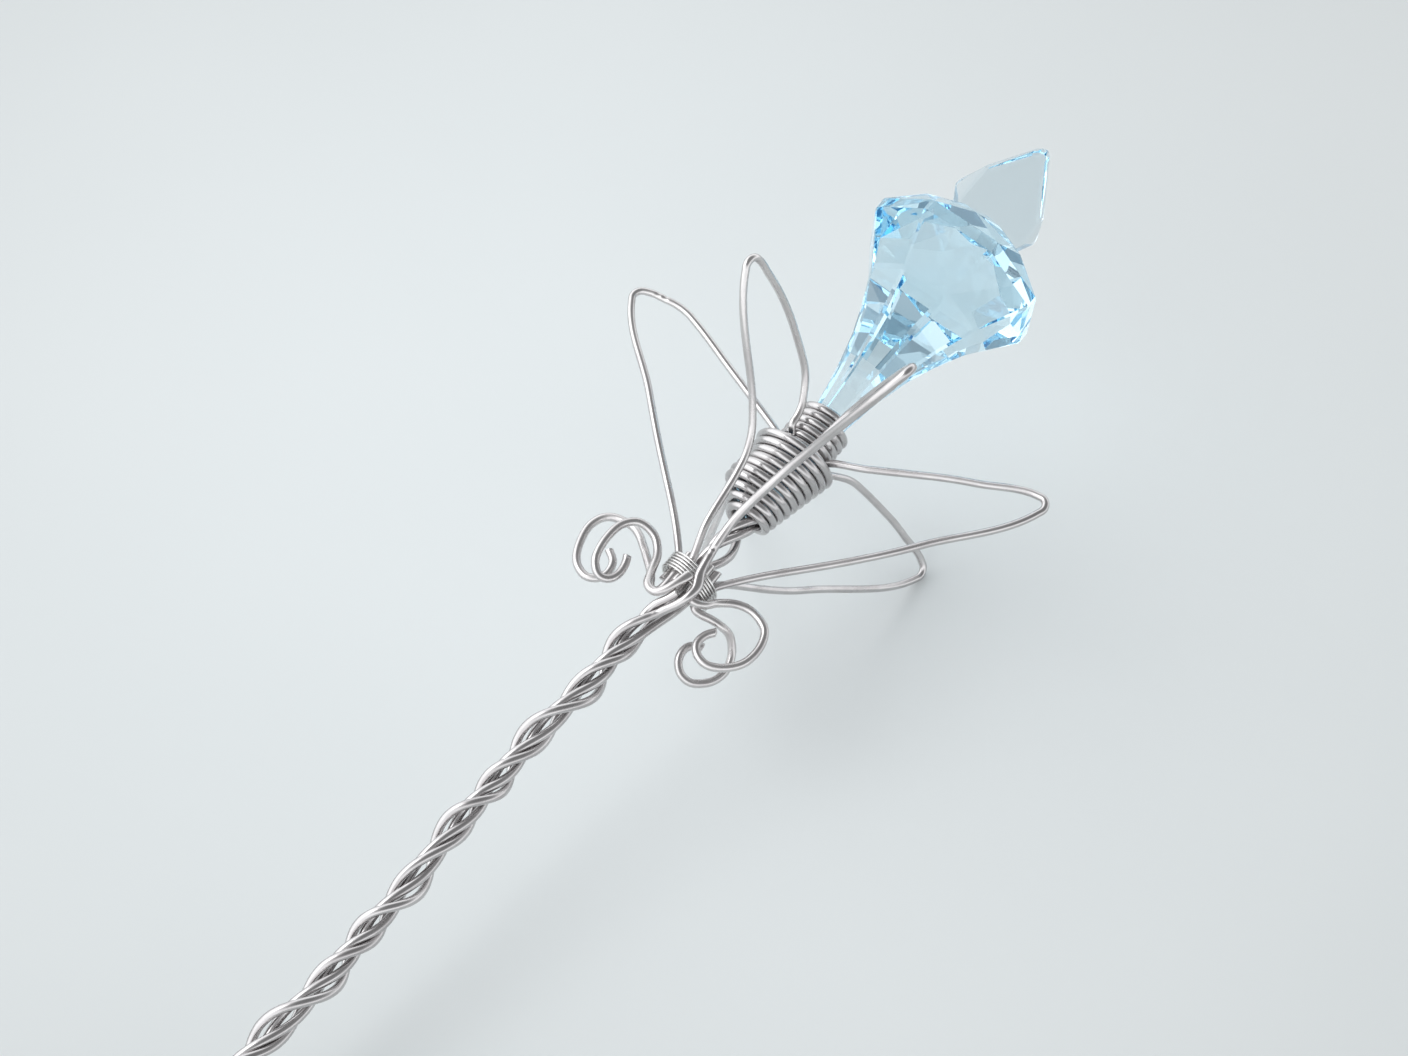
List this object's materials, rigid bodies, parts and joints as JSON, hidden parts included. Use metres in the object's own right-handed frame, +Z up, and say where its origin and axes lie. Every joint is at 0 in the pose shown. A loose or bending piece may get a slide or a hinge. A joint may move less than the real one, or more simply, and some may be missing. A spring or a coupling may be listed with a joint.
{
  "type": "hair stick",
  "caption": "Wire hair stick with a twisted shank, open wire petals, curled scrolls and a clear faceted drop at its head.",
  "frame": {"origin": "on the surface it lies on, under the middle of its outline", "axes": "+X along the stick from the tip of the shank towards the jewel, +Z up, as it rests on two petal tips and the tip of its shank"},
  "size_m": [0.1944, 0.0568, 0.0479],
  "materials": {
    "jewel": "clear moulded acrylic, pale aqua, polished facets",
    "wire": "satin drawn wire with fine die lines and small plier marks",
    "coil_wire": "satin drawn wire, a little duller where the turns rub",
    "binding_wire": "bright fine craft wire"
  },
  "bodies": {
    "root": {"jewel": "jewel", "shank_wire_outer": "wire", "shank_wire_inner": "wire", "petal_lower_left": "wire", "petal_lower_right": "wire", "petal_side_left": "wire", "petal_side_right": "wire", "petal_upper_left": "wire", "scroll_left_front": "wire", "scroll_left_back": "wire", "scroll_right_front": "wire", "scroll_right_back": "wire", "cone_coil": "coil_wire", "neck_coil": "coil_wire", "binding": "binding_wire"}
  },
  "joints": []
}
